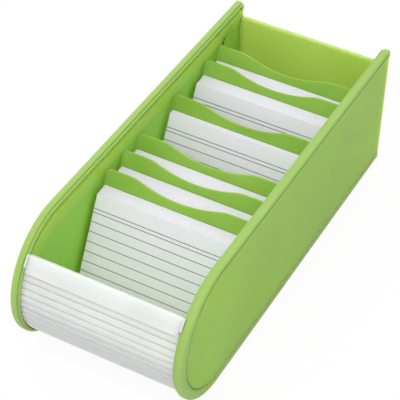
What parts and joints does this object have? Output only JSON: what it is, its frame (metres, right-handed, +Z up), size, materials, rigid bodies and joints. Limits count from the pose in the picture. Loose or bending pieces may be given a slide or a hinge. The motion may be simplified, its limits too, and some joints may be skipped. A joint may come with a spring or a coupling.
{
  "type": "flashcard box",
  "caption": "Open-topped plastic box for small ruled cards, round at the front, with a ribbed roll-up shutter in side grooves, leaning dividers and packs of cards.",
  "frame": {"origin": "on the table under the middle of the box's outline", "axes": "+X across the box to its right-hand wall, +Y from the round front to the flat back, +Z up from the table"},
  "size_m": [0.088, 0.216, 0.071],
  "materials": {
    "green_moulding": "satin",
    "white_shutter": "satin",
    "green_divider": "satin",
    "card_stock": "matt"
  },
  "bodies": {
    "box": {"side_wall_right": "green_moulding", "side_wall_left": "green_moulding", "tray": "green_moulding"},
    "shutter_front": {"pull_bar": "white_shutter", "shutter_front": "white_shutter"},
    "shutter_slat_1": {"shutter_slat_1": "white_shutter"},
    "shutter_slat_2": {"shutter_slat_2": "white_shutter"},
    "shutter_slat_3": {"shutter_slat_3": "white_shutter"},
    "shutter_slat_4": {"shutter_slat_4": "white_shutter"},
    "shutter_slat_5": {"shutter_slat_5": "white_shutter"},
    "shutter_slat_6": {"shutter_slat_6": "white_shutter"},
    "shutter_tail": {"shutter_tail": "white_shutter"},
    "divider_1": {"divider_1": "green_divider"},
    "card_pack_1": {"card_pack_1": "card_stock"},
    "divider_2": {"divider_2": "green_divider"},
    "card_pack_2": {"card_pack_2": "card_stock"},
    "divider_3": {"divider_3": "green_divider"},
    "card_pack_3": {"card_pack_3": "card_stock"},
    "divider_4": {"divider_4": "green_divider"},
    "card_pack_4": {"card_pack_4": "card_stock"},
    "divider_5": {"divider_5": "green_divider"},
    "card_pack_5": {"card_pack_5": "card_stock"},
    "divider_6": {"divider_6": "green_divider"},
    "card_pack_6": {"card_pack_6": "card_stock"}
  },
  "joints": [
    {"name": "shutter_roll", "type": "hinge", "parent": "box", "child": "shutter_front", "pos_m": [0, -0.0725, 0.0355], "axis": [-1, 0, 0], "range_deg": [0, 43.37]},
    {"name": "shutter_slat_1_turn", "type": "hinge", "parent": "box", "child": "shutter_slat_1", "pos_m": [0, -0.0716, 0.03796], "axis": [-1, 0, 0], "range_deg": [0, 40.22]},
    {"name": "shutter_slat_2_turn", "type": "hinge", "parent": "box", "child": "shutter_slat_2", "pos_m": [0, -0.0698, 0.04437], "axis": [-1, 0, 0], "range_deg": [0, 33.87]},
    {"name": "shutter_slat_3_turn", "type": "hinge", "parent": "box", "child": "shutter_slat_3", "pos_m": [0, -0.068, 0.05389], "axis": [-1, 0, 0], "range_deg": [0, 27.52]},
    {"name": "shutter_slat_4_turn", "type": "hinge", "parent": "box", "child": "shutter_slat_4", "pos_m": [0, -0.0662, 0.06923], "axis": [-1, 0, 0], "range_deg": [0, 21.18]},
    {"name": "shutter_slat_5_turn", "type": "hinge", "parent": "box", "child": "shutter_slat_5", "pos_m": [0, -0.0644, 0.09782], "axis": [-1, 0, 0], "range_deg": [0, 14.83]},
    {"name": "shutter_slat_6_turn", "type": "hinge", "parent": "box", "child": "shutter_slat_6", "pos_m": [0, -0.0626, 0.16929], "axis": [-1, 0, 0], "range_deg": [0, 8.48]},
    {"name": "shutter_tail_slide", "type": "slide", "parent": "box", "child": "shutter_tail", "axis": [0, -1, 0], "range_m": [0, 0.02462]},
    {"name": "divider_1_lift", "type": "slide", "parent": "box", "child": "divider_1", "axis": [0, 0.4384, 0.8988], "range_m": [0, 0.065]},
    {"name": "card_pack_1_lift", "type": "slide", "parent": "box", "child": "card_pack_1", "axis": [0, 0.4384, 0.8988], "range_m": [0, 0.065]},
    {"name": "divider_2_lift", "type": "slide", "parent": "box", "child": "divider_2", "axis": [0, 0.4384, 0.8988], "range_m": [0, 0.065]},
    {"name": "card_pack_2_lift", "type": "slide", "parent": "box", "child": "card_pack_2", "axis": [0, 0.4384, 0.8988], "range_m": [0, 0.065]},
    {"name": "divider_3_lift", "type": "slide", "parent": "box", "child": "divider_3", "axis": [0, 0.4384, 0.8988], "range_m": [0, 0.065]},
    {"name": "card_pack_3_lift", "type": "slide", "parent": "box", "child": "card_pack_3", "axis": [0, 0.4384, 0.8988], "range_m": [0, 0.065]},
    {"name": "divider_4_lift", "type": "slide", "parent": "box", "child": "divider_4", "axis": [0, 0.4384, 0.8988], "range_m": [0, 0.065]},
    {"name": "card_pack_4_lift", "type": "slide", "parent": "box", "child": "card_pack_4", "axis": [0, 0.4384, 0.8988], "range_m": [0, 0.065]},
    {"name": "divider_5_lift", "type": "slide", "parent": "box", "child": "divider_5", "axis": [0, 0.4384, 0.8988], "range_m": [0, 0.065]},
    {"name": "card_pack_5_lift", "type": "slide", "parent": "box", "child": "card_pack_5", "axis": [0, 0.4384, 0.8988], "range_m": [0, 0.065]},
    {"name": "divider_6_lift", "type": "slide", "parent": "box", "child": "divider_6", "axis": [0, 0.4384, 0.8988], "range_m": [0, 0.065]},
    {"name": "card_pack_6_lift", "type": "slide", "parent": "box", "child": "card_pack_6", "axis": [0, 0.4384, 0.8988], "range_m": [0, 0.065]}
  ],
  "couplings": [
    {"joint": "shutter_slat_1_turn", "follows": "shutter_roll", "ratio": 0.92683},
    {"joint": "shutter_slat_2_turn", "follows": "shutter_roll", "ratio": 0.7805},
    {"joint": "shutter_slat_3_turn", "follows": "shutter_roll", "ratio": 0.63416},
    {"joint": "shutter_slat_4_turn", "follows": "shutter_roll", "ratio": 0.48782},
    {"joint": "shutter_slat_5_turn", "follows": "shutter_roll", "ratio": 0.34149},
    {"joint": "shutter_slat_6_turn", "follows": "shutter_roll", "ratio": 0.19515},
    {"joint": "shutter_tail_slide", "follows": "shutter_roll", "m_per_rad": 0.0325}
  ]
}
